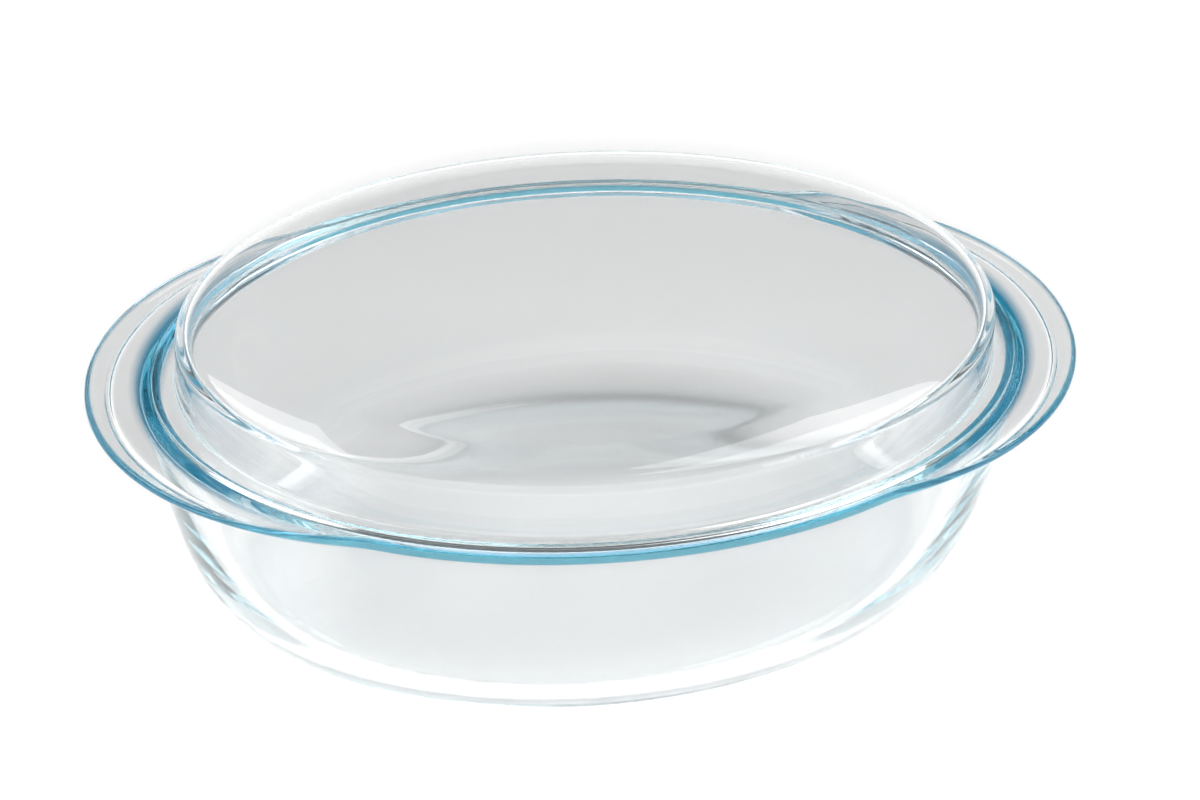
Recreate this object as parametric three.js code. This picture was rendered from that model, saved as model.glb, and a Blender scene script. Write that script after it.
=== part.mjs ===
// Covered oval casserole in clear borosilicate glass: an oval dish with a moulded wing at each
// end, and a domed lid that sits on a ledge inside the dish's rim and lifts straight off.
// Millimetres, +Z up, length along X. The origin is the centre of the underside.
import * as THREE from "three";

// ---------------------------------------------------------------- driving dimensions

const SEGMENTS = 72;               // facets round each oval

const RIM = {
  a: 147.8,                        // half length of the rim's oval, without the wings
  b: 100,                          // half width
  top: 88,                         // height of the rim's top face
  thickness: 4.4,                  // of the rim's lip and of the wings
};

const WING = {
  reach: 17.2,                     // how far a wing stands out past the rim's oval
  spread: THREE.MathUtils.degToRad(55.5),   // half the angle that a wing takes up
  fullness: 2.5,                   // power of the curve along which a wing runs out
  blend: 0.06,                     // rounds the place where a wing runs out into the rim
  roundOver: 6,                    // width of the rounded underside of a wing's edge
};

const LIP_ROUND = 0.9;             // the same rounding on the plain rim at the front and back
const TOP_ROUND = 1.2;             // rounding of the top outer edge

const BODY = {
  foot: { a: 115, b: 72 },         // flat underside
  neck: { a: 146.3, b: 97.5 },     // outer wall just under the rim's lip
  neckHeight: 80,
};

const INSIDE = {
  foot: { a: 107, b: 66.5 },       // flat floor
  neck: { a: 140.8, b: 92.8 },     // inner wall just under the ledge
  floor: 5,                        // thickness of the floor
};

// The bowl's profile from foot to neck is one cubic curve. Each control point is the share of
// the way from foot to neck and the share of the height.
const PROFILE = new THREE.CubicBezierCurve(
  new THREE.Vector2(0, 0),
  new THREE.Vector2(0.7, 0),
  new THREE.Vector2(0.84, 0.375),
  new THREE.Vector2(1, 1),
);

const LEDGE = {
  a: 144.4,                        // outer edge of the ledge that the lid rests on
  b: 98,
  depth: 2.6,                      // below the rim's top face
  edge: 0.6,                       // rounding of the ledge's inner edge
};

const LID = {
  gap: 0.3,                        // between the lid's flange and the ledge
  flange: { a: 143.8, b: 97.4, thickness: 3, round: 0.8 },
  fillet: 1.6,                     // between the flange and the side wall
  wall: { a: 136, b: 93.4 },       // outer side wall where it leaves the flange
  lean: 0.07,                      // inward lean of the side wall per millimetre of height
  shoulder: { reach: 22, rise: 8.5 },     // outer shoulder, a quarter of an ellipse
  dome: 4.4,                       // rise of the dome above the shoulder
  top: 117.1,                      // height of the dome's middle
  glass: 4.5,                      // wall thickness
};

const GLASS = { color: 0xdce6e6, roughness: 0.03, metalness: 0, transparent: true, opacity: 0.35 };

// ---------------------------------------------------------------- rings and lofts

// Every surface is a stack of rings. A ring is a function from the angle round the oval to a point.

function oval(a, b, z) {
  return (angle) => new THREE.Vector3(a * Math.cos(angle), b * Math.sin(angle), z);
}

// 1 on the middle of a wing, falling to 0 where the wing runs out into the rim.
function wingShare(angle) {
  const fromEnd = Math.asin(Math.abs(Math.sin(angle)));
  const share = 1 - (fromEnd / WING.spread) ** WING.fullness;
  return (share + Math.hypot(share, WING.blend)) / 2;
}

// A ring that follows the outer edge of the rim and wings, set in by plain at the front and
// back and by wing at the ends.
function edge(plain, wing, z) {
  return (angle) => {
    const point = oval(RIM.a, RIM.b, z)(angle);
    const radius = Math.hypot(point.x, point.y);
    const share = wingShare(angle);
    const grown = (radius + WING.reach * share - THREE.MathUtils.lerp(plain, wing, share)) / radius;
    return new THREE.Vector3(point.x * grown, point.y * grown, z);
  };
}

// Closes a stack of rings, which starts and ends on the axis, into one solid.
function loft(rings) {
  const positions = [];
  const indices = [];
  const last = rings.length - 1;
  for (const ring of rings) {
    for (let i = 0; i < SEGMENTS; i += 1) {
      positions.push(...ring((2 * Math.PI * i) / SEGMENTS).toArray());
    }
  }
  positions.push(0, 0, rings[0](0).z, 0, 0, rings[last](0).z);
  const start = rings.length * SEGMENTS;
  const end = start + 1;
  const at = (row, i) => row * SEGMENTS + (i % SEGMENTS);
  for (let i = 0; i < SEGMENTS; i += 1) {
    indices.push(start, at(0, i + 1), at(0, i));
    for (let row = 0; row < last; row += 1) {
      indices.push(at(row, i), at(row, i + 1), at(row + 1, i + 1));
      indices.push(at(row, i), at(row + 1, i + 1), at(row + 1, i));
    }
    indices.push(end, at(last, i), at(last, i + 1));
  }
  const geometry = new THREE.BufferGeometry();
  geometry.setAttribute("position", new THREE.Float32BufferAttribute(positions, 3));
  geometry.setIndex(indices);
  geometry.computeVertexNormals();
  return geometry;
}

// steps + 1 values from 0 to 1.
function fractions(steps) {
  return Array.from({ length: steps + 1 }, (_, i) => i / steps);
}

// The bowl from its flat foot up to its neck.
function bowl(foot, neck, bottom, top, steps) {
  return fractions(steps).map((t) => {
    const { x: share, y: rise } = PROFILE.getPoint(t);
    return oval(
      THREE.MathUtils.lerp(foot.a, neck.a, share),
      THREE.MathUtils.lerp(foot.b, neck.b, share),
      THREE.MathUtils.lerp(bottom, top, rise),
    );
  });
}

// ---------------------------------------------------------------- the dish

function dishRings() {
  const under = RIM.top - RIM.thickness;
  const roundTop = RIM.top - TOP_ROUND;
  const outside = bowl(BODY.foot, BODY.neck, 0, BODY.neckHeight, 9);

  // The neck flares into the flat underside of the lip.
  const flare = [
    oval(BODY.neck.a + 0.6, BODY.neck.b + 0.3, under - 1.6),
    oval(BODY.neck.a + 2.4, BODY.neck.b + 1.1, under),
  ];

  // The edge: a quarter ellipse up from the underside, then a small round onto the top face.
  const underEdge = fractions(4).map((t) => {
    const turn = (t * Math.PI) / 2;
    const inward = 1 - Math.sin(turn);
    return edge(LIP_ROUND * inward, WING.roundOver * inward,
      under + (roundTop - under) * (1 - Math.cos(turn)));
  });
  const topEdge = fractions(3).slice(1).map((t) => {
    const turn = (t * Math.PI) / 2;
    const inward = TOP_ROUND * (1 - Math.cos(turn));
    return edge(inward, inward, roundTop + TOP_ROUND * Math.sin(turn));
  });

  const seat = RIM.top - LEDGE.depth;
  const ledge = [
    oval(LEDGE.a, LEDGE.b, RIM.top),
    oval(LEDGE.a, LEDGE.b, seat),
    oval(INSIDE.neck.a + LEDGE.edge, INSIDE.neck.b + LEDGE.edge, seat),
  ];
  const inside = bowl(INSIDE.foot, INSIDE.neck, INSIDE.floor, seat - LEDGE.edge, 8).reverse();
  return [...outside, ...flare, ...underEdge, ...topEdge, ...ledge, ...inside];
}

// ---------------------------------------------------------------- the lid

// Side wall, shoulder and dome of the lid, from the flange up to the axis. inset 0 gives the
// outer face and the glass thickness gives the inner one.
function crown(inset, from) {
  const reach = LID.shoulder.reach - inset;
  const rise = LID.shoulder.rise - inset;
  const top = LID.top - LID.dome - inset;
  const wall = (z) => {
    const inward = inset + LID.lean * (z - RIM.top);
    return { a: LID.wall.a - inward, b: LID.wall.b - inward };
  };
  const foot = wall(from);
  const bend = wall(top - rise);
  const rings = [oval(foot.a, foot.b, from)];
  for (const t of fractions(5)) {
    const turn = (t * Math.PI) / 2;
    const inward = reach * (1 - Math.cos(turn));
    rings.push(oval(bend.a - inward, bend.b - inward, top - rise * (1 - Math.sin(turn))));
  }
  const rim = { a: bend.a - reach, b: bend.b - reach };
  for (const t of [0.75, 0.5, 0.25]) {
    rings.push(oval(rim.a * t, rim.b * t, top + LID.dome * (1 - t * t)));
  }
  return rings;
}

function lidRings() {
  const { a, b, thickness, round } = LID.flange;
  const bottom = RIM.top - LEDGE.depth + LID.gap;
  const top = bottom + thickness;
  const flange = [
    oval(a - round, b - round, bottom),
    oval(a, b, bottom + round),
    oval(a, b, top - round),
    oval(a - round, b - round, top),
    oval(LID.wall.a + LID.fillet, LID.wall.b + LID.fillet, top),
  ];
  const inner = crown(LID.glass, bottom);
  return [...inner.reverse(), ...flange, ...crown(0, top + LID.fillet)];
}

// ---------------------------------------------------------------- assembly

function glassMesh(name, rings) {
  const mesh = new THREE.Mesh(loft(rings), new THREE.MeshStandardMaterial(GLASS));
  mesh.name = name;
  return mesh;
}

const casserole = new THREE.Group();
casserole.add(glassMesh("dish", dishRings()));
casserole.add(glassMesh("lid", lidRings()));

export default casserole;
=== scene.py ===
"""Looks of the covered oval casserole: clear pressed glass, standing on a pale studio floor. Along
its edges the glass's own teal tint is painted into the surface colour, darkened as painted shade. The
dish and the lid are stacks of oval rings, sized from the frame's boxes."""
import math

import bpy
import numpy as np
from mathutils import Matrix, Vector


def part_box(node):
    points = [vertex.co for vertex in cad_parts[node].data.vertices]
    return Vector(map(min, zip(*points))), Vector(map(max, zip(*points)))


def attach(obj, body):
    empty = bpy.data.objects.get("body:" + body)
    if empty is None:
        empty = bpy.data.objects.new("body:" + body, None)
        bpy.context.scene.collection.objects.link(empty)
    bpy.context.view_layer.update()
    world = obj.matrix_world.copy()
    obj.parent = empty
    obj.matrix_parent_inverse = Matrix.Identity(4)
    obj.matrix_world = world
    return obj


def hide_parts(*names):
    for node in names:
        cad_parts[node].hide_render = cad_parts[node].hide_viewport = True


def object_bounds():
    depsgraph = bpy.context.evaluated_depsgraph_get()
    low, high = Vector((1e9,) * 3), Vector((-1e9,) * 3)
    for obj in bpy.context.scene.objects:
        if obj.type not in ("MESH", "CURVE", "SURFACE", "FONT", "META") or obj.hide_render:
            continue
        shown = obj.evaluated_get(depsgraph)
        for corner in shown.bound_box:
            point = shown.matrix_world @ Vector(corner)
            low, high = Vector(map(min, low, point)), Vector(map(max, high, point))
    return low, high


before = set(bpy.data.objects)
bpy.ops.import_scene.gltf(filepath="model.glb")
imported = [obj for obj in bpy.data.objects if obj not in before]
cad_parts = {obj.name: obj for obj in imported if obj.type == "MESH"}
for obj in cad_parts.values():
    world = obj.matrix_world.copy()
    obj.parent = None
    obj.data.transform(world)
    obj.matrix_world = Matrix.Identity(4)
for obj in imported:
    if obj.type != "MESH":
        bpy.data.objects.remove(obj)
cad_low, cad_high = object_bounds()
dish_low, dish_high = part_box("dish")
lid_low, lid_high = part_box("lid")

MM = 0.001
SEGMENTS = 360                       # faces round each oval


# ---------------------------------------------------------------- dimensions, in metres

class Rim:
    """The dish's rim and its wings."""
    wing_reach = 17.2 * MM           # from the rim's oval to the tip of a wing
    a = dish_high.x - wing_reach
    b = dish_high.y
    top = dish_high.z
    thickness = 4.4 * MM
    spread = math.radians(55.5)      # half the angle that a wing takes up
    fullness = 2.5                   # power of the curve along which a wing runs out
    blend = 0.06                     # rounds the place where a wing runs out into the rim
    wing_round = 6.0 * MM            # rounded underside of a wing's edge
    lip_round = 0.9 * MM             # the same at the front and back
    top_round = 1.2 * MM
    land_round = 0.5 * MM            # inner edge of the rim's top face
    bead = 0.5 * MM                  # how far the underside of a wing's edge stands proud
    bead_slope = 0.35                # share of the bead's width that each of its sides takes up


# The bowl's profile from foot to neck is one cubic curve. Each control point is the share of the
# way from foot to neck and the share of the height.
PROFILE = ((0.70, 0.0), (0.84, 0.375))


class Body:
    """The outer wall, from the foot to the neck under the rim."""
    foot = (115.0 * MM, 72.0 * MM)
    neck = (146.3 * MM, 97.5 * MM)
    neck_height = 80.0 * MM
    flare = (2.4 * MM, 1.1 * MM)     # the neck's fillet into the lip
    recess = 0.8 * MM                # the underside is hollowed inside its foot ring
    ring = 6.0 * MM                  # width of the foot ring


class Inside:
    """The inner wall and floor, and the ledge that carries the lid."""
    foot = (107.0 * MM, 66.5 * MM)
    neck = (140.8 * MM, 92.8 * MM)
    floor = 5.0 * MM
    ledge = (144.4 * MM, 98.0 * MM)
    ledge_depth = 2.6 * MM
    ledge_round = 0.6 * MM


class Lid:
    """The lid: a flange, a leaning side wall, a round shoulder and a low dome."""
    a = lid_high.x
    b = lid_high.y
    bottom = lid_low.z
    flange = 3.0 * MM                # thickness of the flange
    flange_round = 1.1 * MM
    fillet = 1.8 * MM
    wall = (136.0 * MM, 93.4 * MM)
    lean = 0.07
    shoulder = (22.0 * MM, 8.5 * MM)   # how far the shoulder reaches inwards and upwards
    dome = 4.4 * MM
    crown = lid_high.z               # top of the dome
    glass = 4.5 * MM
    foot_round = 1.2 * MM            # inner bottom edge
    dome_turn = math.radians(82)     # the shoulder meets the dome at this turn


class PaintedEdgeShade:
    """Where the rim's edges are painted dark teal, the glass's own tint darkened as painted shade:
    each pair is where the painted colour starts and where it is full.
    """
    edge = (1.8 * MM, 0.4 * MM)      # distance from the outer edge of the rim and wings
    neck_inside = (0.945, 0.96)      # share of the rim's oval
    neck_outside = (1.015, 1.0)
    neck_at_sides = 0.1              # what is left of it at the front and back of the dish
    below_top = (10 * MM, 6 * MM)


# ---------------------------------------------------------------- rings and lofts

ANGLES = np.arange(SEGMENTS) * (2 * math.pi / SEGMENTS)
COS, SIN = np.cos(ANGLES), np.sin(ANGLES)


def oval(a, b, z):
    """One ring of points on an ellipse."""
    return np.stack([a * COS, b * SIN, np.full(SEGMENTS, z)], axis=1)


def wing_share():
    """1 on the middle of a wing, falling to 0 where the wing runs out into the rim."""
    from_end = np.arcsin(np.clip(np.abs(SIN), 0, 1))
    share = 1 - (from_end / Rim.spread) ** Rim.fullness
    return (share + np.hypot(share, Rim.blend)) / 2


WING = wing_share()


def edge(plain, wing, z):
    """A ring along the outer edge of the rim and wings, set in by plain or wing."""
    ring = oval(Rim.a, Rim.b, z)
    radius = np.hypot(ring[:, 0], ring[:, 1])
    grown = (radius + Rim.wing_reach * WING - plain * (1 - WING) - wing * WING) / radius
    ring[:, 0] *= grown
    ring[:, 1] *= grown
    return ring


def lerp(a, b, t):
    return a + (b - a) * t


def smooth_step(t):
    t = min(max(t, 0), 1)
    return t * t * (3 - 2 * t)


def steps(count, first=True):
    """Fractions from 0 to 1, with or without the 0."""
    values = [i / count for i in range(count + 1)]
    return values if first else values[1:]


def quarter(count, first=True):
    """Sine and cosine at equal steps through a quarter turn."""
    turns = [t * math.pi / 2 for t in steps(count, first)]
    return [(math.sin(turn), math.cos(turn)) for turn in turns]


def between(ring_a, ring_b, count):
    """Rings strictly between two rings."""
    return [lerp(ring_a, ring_b, i / count) for i in range(1, count)]


def cubic(first, second, t):
    """A cubic curve from 0 to 1 with the given control values."""
    return 3 * (1 - t) ** 2 * t * first + 3 * (1 - t) * t ** 2 * second + t ** 3


def bowl(foot, neck, bottom, top, count):
    """Rings of the bowl from its foot up to its neck."""
    first, second = PROFILE
    rings = []
    for t in steps(count):
        share = cubic(first[0], second[0], t)
        rise = cubic(first[1], second[1], t)
        rings.append(oval(lerp(foot[0], neck[0], share), lerp(foot[1], neck[1], share),
                          lerp(bottom, top, rise)))
    return rings


def disc(a, b, z, count):
    """Rings of a flat oval, from near its centre to its edge."""
    return [oval(a * t, b * t, z) for t in steps(count, first=False)]


def ramp(values, none, full):
    """0 at none and before it, 1 at full and beyond it, which may lie on either side."""
    return np.clip((values - none) / (full - none), 0, 1)


def smoothed(rings, rounds):
    """Softens the corners of a stack of rings along its profile."""
    stack = np.array(rings)
    for _ in range(rounds):
        inner = (stack[:-2] + 2 * stack[1:-1] + stack[2:]) / 4
        stack[1:-1] = inner
    return stack


def loft(name, stack, material, body):
    """Closes a stack of rings, which starts and ends on the axis, and puts it on its body. The
    CAD node has the body's name, and the slot has the piece's."""
    rows = len(stack)
    points = np.concatenate([
        stack.reshape(-1, 3),
        [[0, 0, stack[0, :, 2].mean()], [0, 0, stack[-1, :, 2].mean()]],
    ])
    start = rows * SEGMENTS
    end = start + 1
    last = (rows - 1) * SEGMENTS
    faces = []
    for i in range(SEGMENTS):
        j = (i + 1) % SEGMENTS
        faces.append((start, j, i))
        faces.append((end, last + i, last + j))
        for row in range(rows - 1):
            low = row * SEGMENTS
            faces.append((low + i, low + j, low + SEGMENTS + j, low + SEGMENTS + i))
    mesh = bpy.data.meshes.new(name)
    mesh.from_pydata(points.tolist(), [], faces)
    mesh.validate()
    mesh.polygons.foreach_set("use_smooth", [True] * len(mesh.polygons))
    mesh.materials.append(material)
    piece = bpy.data.objects.new(name, mesh)
    bpy.context.scene.collection.objects.link(piece)
    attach(piece, body)
    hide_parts(body)
    return piece


# ---------------------------------------------------------------- the dish

def bead(root, tip):
    """The underside of the wings, flat from the neck and with a low bead near the edge."""
    rings = between(root, tip, 4)
    start = rings[-1]
    for t in steps(16, first=False):
        ring = lerp(start, tip, t)
        rise = smooth_step(t / Rim.bead_slope) * smooth_step((1 - t) / Rim.bead_slope)
        ring[:, 2] -= Rim.bead * WING * rise
        rings.append(ring)
    return rings[:-1]


def dish_stack():
    """From the middle of the underside out, up to the rim, down the inside and back to the middle."""
    under = Rim.top - Rim.thickness
    round_top = Rim.top - Rim.top_round
    foot_a, foot_b = Body.foot
    hollow = (foot_a - Body.ring, foot_b - Body.ring)

    rings = [oval(hollow[0] * t, hollow[1] * t, Body.recess * (1 - t * t) ** 2)
             for t in steps(24, first=False)]
    outside = bowl(Body.foot, Body.neck, 0, Body.neck_height, 40)
    rings += between(rings[-1], outside[0], 3) + outside

    for sin, cos in quarter(8, first=False):
        out = 1 - cos
        rings.append(oval(Body.neck[0] + Body.flare[0] * out, Body.neck[1] + Body.flare[1] * out,
                          lerp(Body.neck_height, under, sin)))

    edges = []
    for sin, cos in quarter(10):
        inward = 1 - sin
        edges.append(edge(Rim.lip_round * inward, Rim.wing_round * inward,
                          lerp(under, round_top, 1 - cos)))
    rings += bead(rings[-1], edges[0]) + edges
    for sin, cos in quarter(5, first=False):
        inward = Rim.top_round * (1 - cos)
        rings.append(edge(inward, inward, round_top + Rim.top_round * sin))

    ledge_a, ledge_b = Inside.ledge
    seat = Rim.top - Inside.ledge_depth
    land = oval(ledge_a + Rim.land_round, ledge_b + Rim.land_round, Rim.top)
    rings += between(rings[-1], land, 6) + [land]
    for sin, cos in quarter(4, first=False):
        out = Rim.land_round * (1 - sin)
        rings.append(oval(ledge_a + out, ledge_b + out, Rim.top - Rim.land_round * (1 - cos)))
    corner = Inside.ledge_round
    for sin, cos in quarter(4):
        inward = corner * (1 - cos)
        rings.append(oval(ledge_a - inward, ledge_b - inward, seat + corner * (1 - sin)))

    inside = bowl(Inside.foot, Inside.neck, Inside.floor, seat - corner, 40)[::-1]
    neck_a, neck_b = Inside.neck
    nose = oval(neck_a + corner, neck_b + corner, seat)
    rings += between(rings[-1], nose, 3) + [nose]
    for sin, cos in quarter(4, first=False)[:-1]:
        out = corner * (1 - sin)
        rings.append(oval(neck_a + out, neck_b + out, seat - corner * (1 - cos)))
    rings += inside
    rings += disc(*Inside.foot, Inside.floor, 14)[::-1][1:]
    return smoothed(rings, 2)


def rim_painted_shade(stack):
    """Share of painted dark teal: 1 along the outer edge of the rim and wings and in the neck at the
    dish's ends, which are the thickest glass that one looks into, and 0 elsewhere. The teal is the
    glass's own tint; its darkness there is painted shade."""
    radius = np.hypot(stack[:, :, 0], stack[:, :, 1])
    outline = edge(0, 0, 0)
    from_edge = np.hypot(outline[:, 0], outline[:, 1]) - radius
    lip = ramp(from_edge, *PaintedEdgeShade.edge)
    share = np.hypot(stack[:, :, 0] / Rim.a, stack[:, :, 1] / Rim.b)
    in_neck = ramp(share, *PaintedEdgeShade.neck_inside) * ramp(share, *PaintedEdgeShade.neck_outside)
    neck = in_neck * lerp(PaintedEdgeShade.neck_at_sides, 1.0, WING)
    return ramp(Rim.top - stack[:, :, 2], *PaintedEdgeShade.below_top) * np.maximum(lip, neck)


# ---------------------------------------------------------------- the lid

def crown(inset, start):
    """Side wall, shoulder and dome, from the flange up to the axis."""
    reach = Lid.shoulder[0] - inset
    rise = Lid.shoulder[1] - inset
    bend = Lid.crown - Lid.dome - Lid.shoulder[1]

    def wall(z):
        inward = inset + Lid.lean * (z - Rim.top)
        return Lid.wall[0] - inward, Lid.wall[1] - inward

    rings = [oval(*wall(lerp(start, bend, t)), lerp(start, bend, t)) for t in steps(6)]
    bend_a, bend_b = wall(bend)
    for t in steps(24, first=False):
        turn = t * Lid.dome_turn
        inward = reach * (1 - math.cos(turn))
        rings.append(oval(bend_a - inward, bend_b - inward, bend + rise * math.sin(turn)))
    rim_a, rim_b = rings[-1][0, 0], rings[-1][SEGMENTS // 4, 1]
    rim_z = rings[-1][0, 2]
    dome = Lid.crown - inset - rim_z
    for t in steps(26)[::-1][1:-1]:
        rings.append(oval(rim_a * t, rim_b * t, rim_z + dome * (1 - t * t)))
    return rings


def lid_stack():
    """From the middle of the hollow out, down to the flange and back over the outside."""
    top = Lid.bottom + Lid.flange
    soft = Lid.flange_round
    inner = crown(Lid.glass, Lid.bottom + Lid.foot_round)[::-1]
    rings = list(inner)
    foot_a, foot_b = inner[-1][0, 0], inner[-1][SEGMENTS // 4, 1]
    for sin, cos in quarter(4, first=False):
        out = Lid.foot_round * (1 - cos)
        rings.append(oval(foot_a + out, foot_b + out, Lid.bottom + Lid.foot_round * (1 - sin)))
    under = oval(Lid.a - soft, Lid.b - soft, Lid.bottom)
    rings += between(rings[-1], under, 8) + [under]
    for sin, cos in quarter(5)[::-1]:
        inward = soft * (1 - cos)
        rings.append(oval(Lid.a - inward, Lid.b - inward, Lid.bottom + soft - soft * sin))
    for sin, cos in quarter(5):
        inward = soft * (1 - cos)
        rings.append(oval(Lid.a - inward, Lid.b - inward, top - soft + soft * sin))
    upper = crown(0, top + Lid.fillet)
    wall_a, wall_b = upper[0][0, 0], upper[0][SEGMENTS // 4, 1]
    inner_top = oval(wall_a + Lid.fillet, wall_b + Lid.fillet, top)
    rings += between(rings[-1], inner_top, 5) + [inner_top]
    for sin, cos in quarter(6, first=False)[:-1]:
        out = Lid.fillet * (1 - sin)
        rings.append(oval(wall_a + out, wall_b + out, top + Lid.fillet * (1 - cos)))
    rings += upper
    return smoothed(rings, 2)


# ---------------------------------------------------------------- glass

IOR = 1.473                          # borosilicate
DISH_ABSORPTION = 1.5                # per metre, in red
LID_ABSORPTION = 1.0
TINT = (0.0, 0.72, 0.84, 1.0)        # share of the absorption that green and blue are spared
CLEAR = (1.0, 1.0, 1.0, 1.0)
EDGE_PAINTED_SHADE = (0.02, 0.27, 0.44, 1.0)   # painted on the thick glass round the rim: its teal is the glass's own tint, its darkness painted shade
EDGE_SHADE_SHARES = "painted_edge_shade"              # attribute with each point's share of that painted colour
RIPPLE_SCALE = 20.0                  # unevenness of the pressed surface
RIPPLE_STRENGTH = 0.25
RIPPLE_HEIGHT = 0.4 * MM
BLOOM_SCALE = 60.0                   # patches of slightly duller gloss
BLOOM_ROUGHNESS = 0.03


def map_range(nodes, source, target, smooth=True):
    """A node that carries the source range over to the target range."""
    node = nodes.new("ShaderNodeMapRange")
    node.interpolation_type = "SMOOTHSTEP" if smooth else "LINEAR"
    node.inputs["From Min"].default_value, node.inputs["From Max"].default_value = source
    node.inputs["To Min"].default_value, node.inputs["To Max"].default_value = target
    return node


def noise(nodes, scale, detail):
    node = nodes.new("ShaderNodeTexNoise")
    node.inputs["Scale"].default_value = scale
    node.inputs["Detail"].default_value = detail
    return node


def glass_material(name, absorption):
    """Clear borosilicate: smooth, faintly rippled and slightly uneven in its gloss."""
    material = bpy.data.materials.new(name)
    material.use_nodes = True
    nodes, links = material.node_tree.nodes, material.node_tree.links
    shader = nodes["Principled BSDF"]
    shader.inputs["Base Color"].default_value = CLEAR
    shader.inputs["Transmission Weight"].default_value = 1.0
    shader.inputs["IOR"].default_value = IOR
    volume = nodes.new("ShaderNodeVolumeAbsorption")
    volume.inputs["Color"].default_value = TINT
    volume.inputs["Density"].default_value = absorption
    links.new(volume.outputs["Volume"], nodes["Material Output"].inputs["Volume"])

    place = nodes.new("ShaderNodeTexCoord")
    ripple = noise(nodes, RIPPLE_SCALE, 1.0)
    bump = nodes.new("ShaderNodeBump")
    bump.inputs["Strength"].default_value = RIPPLE_STRENGTH
    bump.inputs["Distance"].default_value = RIPPLE_HEIGHT
    links.new(place.outputs["Object"], ripple.inputs["Vector"])
    links.new(ripple.outputs["Fac"], bump.inputs["Height"])
    links.new(bump.outputs["Normal"], shader.inputs["Normal"])

    bloom = noise(nodes, BLOOM_SCALE, 5.0)
    gloss = map_range(nodes, (0.45, 0.75), (0.0, BLOOM_ROUGHNESS), smooth=False)
    links.new(place.outputs["Object"], bloom.inputs["Vector"])
    links.new(bloom.outputs["Fac"], gloss.inputs["Value"])
    links.new(gloss.outputs["Result"], shader.inputs["Roughness"])
    return material


def paint_edge_shade(piece, painted_share):
    """Paints the dark teal edge colour into a piece's base colour: the glass's own tint, darkened as
    painted shade. The second argument has a share of it for every point of the stack.
    """
    shares = piece.data.attributes.new(EDGE_SHADE_SHARES, "FLOAT", "POINT")
    shares.data.foreach_set("value", np.append(painted_share.ravel(), [0, 0]))
    tree = piece.data.materials[0].node_tree
    share = tree.nodes.new("ShaderNodeAttribute")
    share.attribute_name = EDGE_SHADE_SHARES
    colour = tree.nodes.new("ShaderNodeMix")
    colour.data_type = "RGBA"
    colour.inputs["A"].default_value = CLEAR
    colour.inputs["B"].default_value = EDGE_PAINTED_SHADE
    tree.links.new(share.outputs["Fac"], colour.inputs["Factor"])
    # the base colour carries painted shade: dark teal on the rim's edges, the glass's own tint
    # darkened
    tree.links.new(colour.outputs["Result"], tree.nodes["Principled BSDF"].inputs["Base Color"])


# ---------------------------------------------------------------- studio

CENTRE = (cad_low + cad_high) / 2
CAMERA_DISTANCE = 0.795
CAMERA_AZIMUTH = math.radians(-10.57)
CAMERA_ELEVATION = math.radians(39.24)
CAMERA_ROLL = math.radians(2.01)
CAMERA_PLACE = CENTRE + CAMERA_DISTANCE * Vector((
    math.sin(CAMERA_AZIMUTH) * math.cos(CAMERA_ELEVATION),
    -math.cos(CAMERA_AZIMUTH) * math.cos(CAMERA_ELEVATION),
    math.sin(CAMERA_ELEVATION)))
CAMERA_AIM = CENTRE + Vector((0.0046, 0.0032, 0.0050))
LENS = 70.2                          # millimetres
SENSOR = 36.0

FLOOR_HALF = 6.0
FLOOR_GAP = 0.2 * MM                 # below the foot
FLOOR_ALBEDO = (0.93, 0.93, 0.93, 1.0)
GLOW_FROM = 0.2                      # distance from the dish where the floor starts to glow
GLOW_TO = 1.2
FAR_GLOW = 0.9                       # how much it glows from there on

HORIZON = 1.0                        # brightness of the world along the horizon
OVERHEAD = 0.13                      # and from about 25 degrees up
RISE = (0.12, 0.40)                  # sines of the elevations between which it darkens
BEHIND_CAMERA = 0.70                 # share of it left in front of the dish
FRONT = (-0.75, -0.25)               # how far a direction points to +Y, from that share to all
PANEL = 4.0                          # brightness of the softboxes
PANEL_DISTANCE = 1.6
KEY = 290.0                          # brightness of the light at the camera
KEY_SIZE = 0.08


def add_camera():
    camera = bpy.data.objects.new("camera", bpy.data.cameras.new("camera"))
    bpy.context.scene.collection.objects.link(camera)
    turn = (CAMERA_AIM - CAMERA_PLACE).to_track_quat("-Z", "Y").to_matrix().to_4x4()
    roll = Matrix.Rotation(CAMERA_ROLL, 4, "Z")
    camera.matrix_world = Matrix.Translation(CAMERA_PLACE) @ turn @ roll
    camera.data.lens = LENS
    camera.data.sensor_width = SENSOR
    camera.data.clip_start = 0.01
    bpy.context.scene.camera = camera


def add_floor():
    """A pale floor that glows more and more away from the dish, so it runs out into white."""
    corners = [(x * FLOOR_HALF, y * FLOOR_HALF, 0) for x, y in ((-1, -1), (1, -1), (1, 1), (-1, 1))]
    mesh = bpy.data.meshes.new("floor")
    mesh.from_pydata(corners, [], [(0, 1, 2, 3)])
    material = bpy.data.materials.new("floor")
    material.use_nodes = True
    nodes, links = material.node_tree.nodes, material.node_tree.links
    shader = nodes["Principled BSDF"]
    shader.inputs["Base Color"].default_value = FLOOR_ALBEDO
    shader.inputs["Roughness"].default_value = 0.9
    shader.inputs["Specular IOR Level"].default_value = 0.1
    shader.inputs["Emission Color"].default_value = (1, 1, 1, 1)
    place = nodes.new("ShaderNodeTexCoord")
    distance = nodes.new("ShaderNodeVectorMath")
    distance.operation = "LENGTH"
    glow = map_range(nodes, (GLOW_FROM, GLOW_TO), (0.0, FAR_GLOW))
    links.new(place.outputs["Object"], distance.inputs[0])
    links.new(distance.outputs["Value"], glow.inputs["Value"])
    links.new(glow.outputs["Result"], shader.inputs["Emission Strength"])
    mesh.materials.append(material)
    floor = bpy.data.objects.new("floor", mesh)
    floor.location.z = cad_low.z - FLOOR_GAP
    bpy.context.scene.collection.objects.link(floor)


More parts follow.
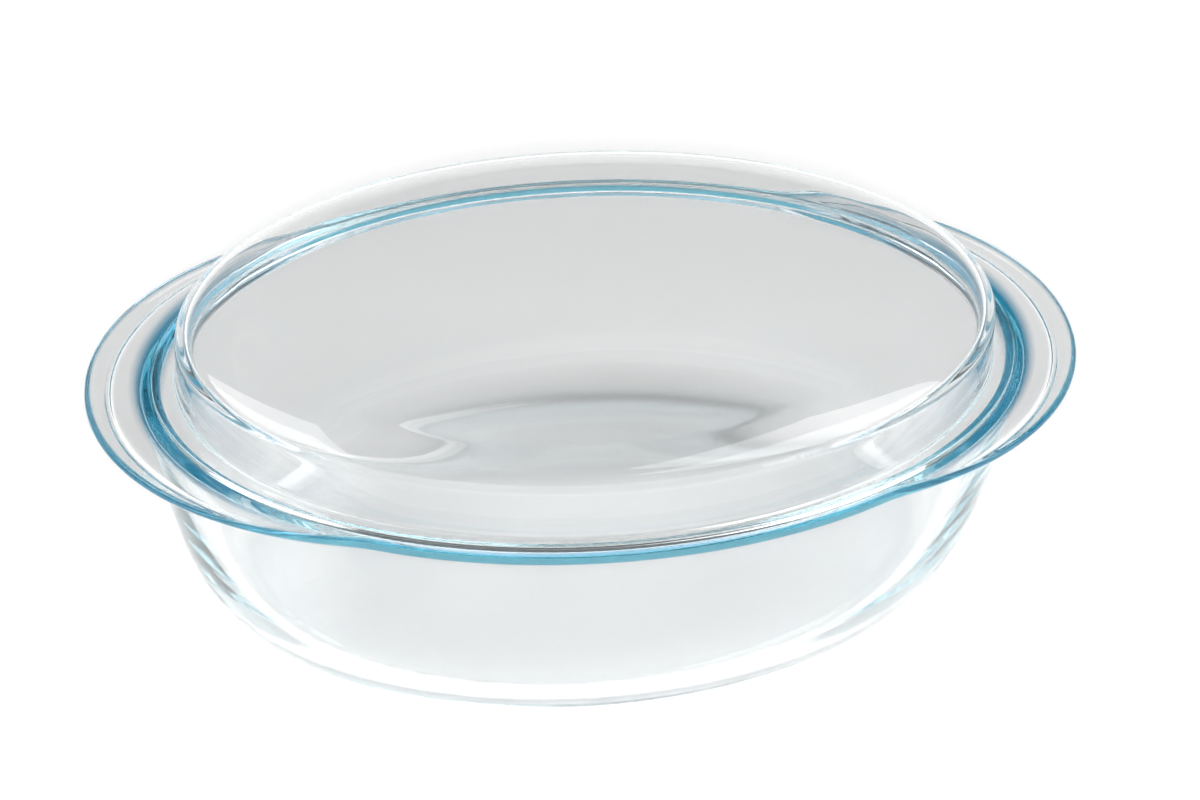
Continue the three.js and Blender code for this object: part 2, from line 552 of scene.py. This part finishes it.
def area_light(name, place, aim, spin, width, length, brightness):
    """A rectangular light with a set brightness, facing a point and spun about its own axis."""
    light = bpy.data.lights.new(name, "AREA")
    light.shape = "RECTANGLE"
    light.size = width
    light.size_y = length
    light.energy = brightness * math.pi * width * length
    lamp = bpy.data.objects.new(name, light)
    bpy.context.scene.collection.objects.link(lamp)
    turn = (Vector(aim) - Vector(place)).to_track_quat("-Z", "Y").to_matrix().to_4x4()
    lamp.matrix_world = Matrix.Translation(place) @ turn @ Matrix.Rotation(spin, 4, "Z")
    lamp.visible_camera = False
    return lamp


def add_softbox(name, azimuth, elevation, spin, width, length):
    """A light panel that faces the dish. The angles are in degrees, azimuth counted from straight
    behind the dish."""
    azimuth, elevation, spin = map(math.radians, (azimuth, elevation, spin))
    away = Vector((math.sin(azimuth) * math.cos(elevation),
                   math.cos(azimuth) * math.cos(elevation),
                   math.sin(elevation)))
    area_light(name, PANEL_DISTANCE * away, (0, 0, 0), spin, width, length, PANEL)


def add_key():
    """A small light at the camera. It doesn't pass through the glass, so the dish has a plain
    shadow, which lies behind it and shows only through the glass."""
    key = area_light("key", CAMERA_PLACE, CENTRE, 0, KEY_SIZE, KEY_SIZE, KEY)
    key.visible_glossy = False
    key.visible_transmission = False


def add_world():
    """White along the horizon, darker overhead and behind the camera."""
    world = bpy.data.worlds.new("studio")
    bpy.context.scene.world = world
    world.use_nodes = True
    nodes, links = world.node_tree.nodes, world.node_tree.links
    place = nodes.new("ShaderNodeTexCoord")
    split = nodes.new("ShaderNodeSeparateXYZ")
    links.new(place.outputs["Generated"], split.inputs["Vector"])

    rise = map_range(nodes, RISE, (HORIZON, OVERHEAD))
    links.new(split.outputs["Z"], rise.inputs["Value"])
    front = map_range(nodes, FRONT, (BEHIND_CAMERA, 1.0))
    links.new(split.outputs["Y"], front.inputs["Value"])

    level = nodes.new("ShaderNodeMath")
    level.operation = "MULTIPLY"
    links.new(rise.outputs["Result"], level.inputs[0])
    links.new(front.outputs["Result"], level.inputs[1])
    links.new(level.outputs["Value"], nodes["Background"].inputs["Strength"])
    nodes["Background"].inputs["Color"].default_value = (1, 1, 1, 1)


LONGEST_PATH = 400                   # light runs a long way along the glass before it gets out


def add_render_settings():
    scene = bpy.context.scene
    scene.view_settings.view_transform = "Standard"
    scene.cycles.max_bounces = LONGEST_PATH
    scene.cycles.transmission_bounces = LONGEST_PATH
    scene.cycles.glossy_bounces = LONGEST_PATH
    scene.cycles.diffuse_bounces = 4
    scene.cycles.caustics_refractive = True
    scene.cycles.caustics_reflective = True
    scene.cycles.blur_glossy = 0.0
    scene.cycles.use_denoising = True


add_camera()
add_floor()
add_world()
add_softbox("softbox_left", -70, 54, 0, 0.95, 0.75)
add_softbox("softbox_right", 90, 58, -32, 0.85, 1.2)
add_key()
add_render_settings()

dish = dish_stack()
dish_piece = loft("dish_glass", dish, glass_material("dish_glass", DISH_ABSORPTION), "dish")
# painted shade: the rim's edges and the neck at the dish's ends get dark teal in their surface colour
paint_edge_shade(dish_piece, rim_painted_shade(dish))
loft("lid_glass", lid_stack(), glass_material("lid_glass", LID_ABSORPTION), "lid")
